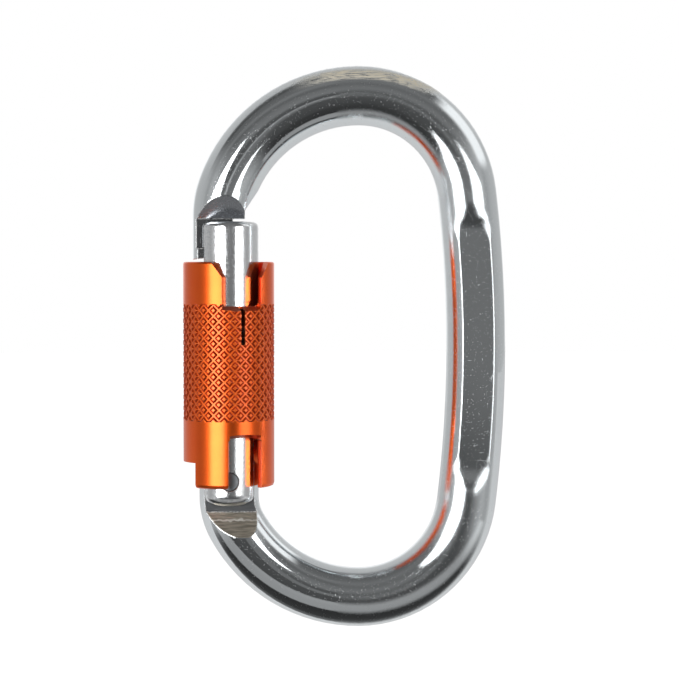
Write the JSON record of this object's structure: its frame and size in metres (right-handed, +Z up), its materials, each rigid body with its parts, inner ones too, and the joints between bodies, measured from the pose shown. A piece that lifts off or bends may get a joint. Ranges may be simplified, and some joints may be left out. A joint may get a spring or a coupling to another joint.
{
  "type": "locking carabiner",
  "caption": "Oval locking carabiner with a hinged gate, a knurled turn-and-push locking sleeve and flattened spine.",
  "frame": {"origin": "the bearing point inside the top bow, midway through the bar", "axes": "+X from the gate towards the spine, +Y from the front face to the back face, +Z up along the length"},
  "size_m": [0.0633, 0.0178, 0.11],
  "materials": {
    "polished_aluminium": "polished",
    "gate_aluminium": "satin polished",
    "orange_anodised": "orange anodised, satin",
    "rivet_steel": "dark, dull",
    "spring_steel": "bright drawn wire",
    "acetal": "black, matt"
  },
  "bodies": {
    "frame_body": {"frame": "polished_aluminium"},
    "gate_body": {"gate": "gate_aluminium", "hinge_rivet": "rivet_steel", "guide_pin": "spring_steel", "gate_spring": "spring_steel", "sleeve_spring": "spring_steel"},
    "plunger_body": {"gate_plunger": "spring_steel"},
    "sleeve_body": {"locking_sleeve": "orange_anodised", "sleeve_bush": "acetal", "bush_ring": "spring_steel", "spring_washer": "spring_steel"}
  },
  "joints": [
    {"name": "gate_swing", "type": "hinge", "parent": "frame_body", "child": "gate_body", "pos_m": [-0.02554, 0, -0.0693], "axis": [0, 1, 0], "range_deg": [0, 22], "stiffness_Nm_per_rad": 0.35, "springref_deg": -28.65, "deforming": ["gate_spring"]},
    {"name": "sleeve_twist", "type": "hinge", "parent": "gate_body", "child": "sleeve_body", "pos_m": [-0.02554, 0, -0.0493], "axis": [0, 0, -1], "range_deg": [0, 108], "stiffness_Nm_per_rad": 0.01, "springref_deg": -45.84, "deforming": ["sleeve_spring"]},
    {"name": "plunger_slide", "type": "slide", "parent": "gate_body", "child": "plunger_body", "axis": [0, 0, 1], "range_m": [0, 0.00064]}
  ],
  "couplings": [
    {"joint": "plunger_slide", "follows": "gate_swing", "m_per_rad": 0.0016293}
  ]
}
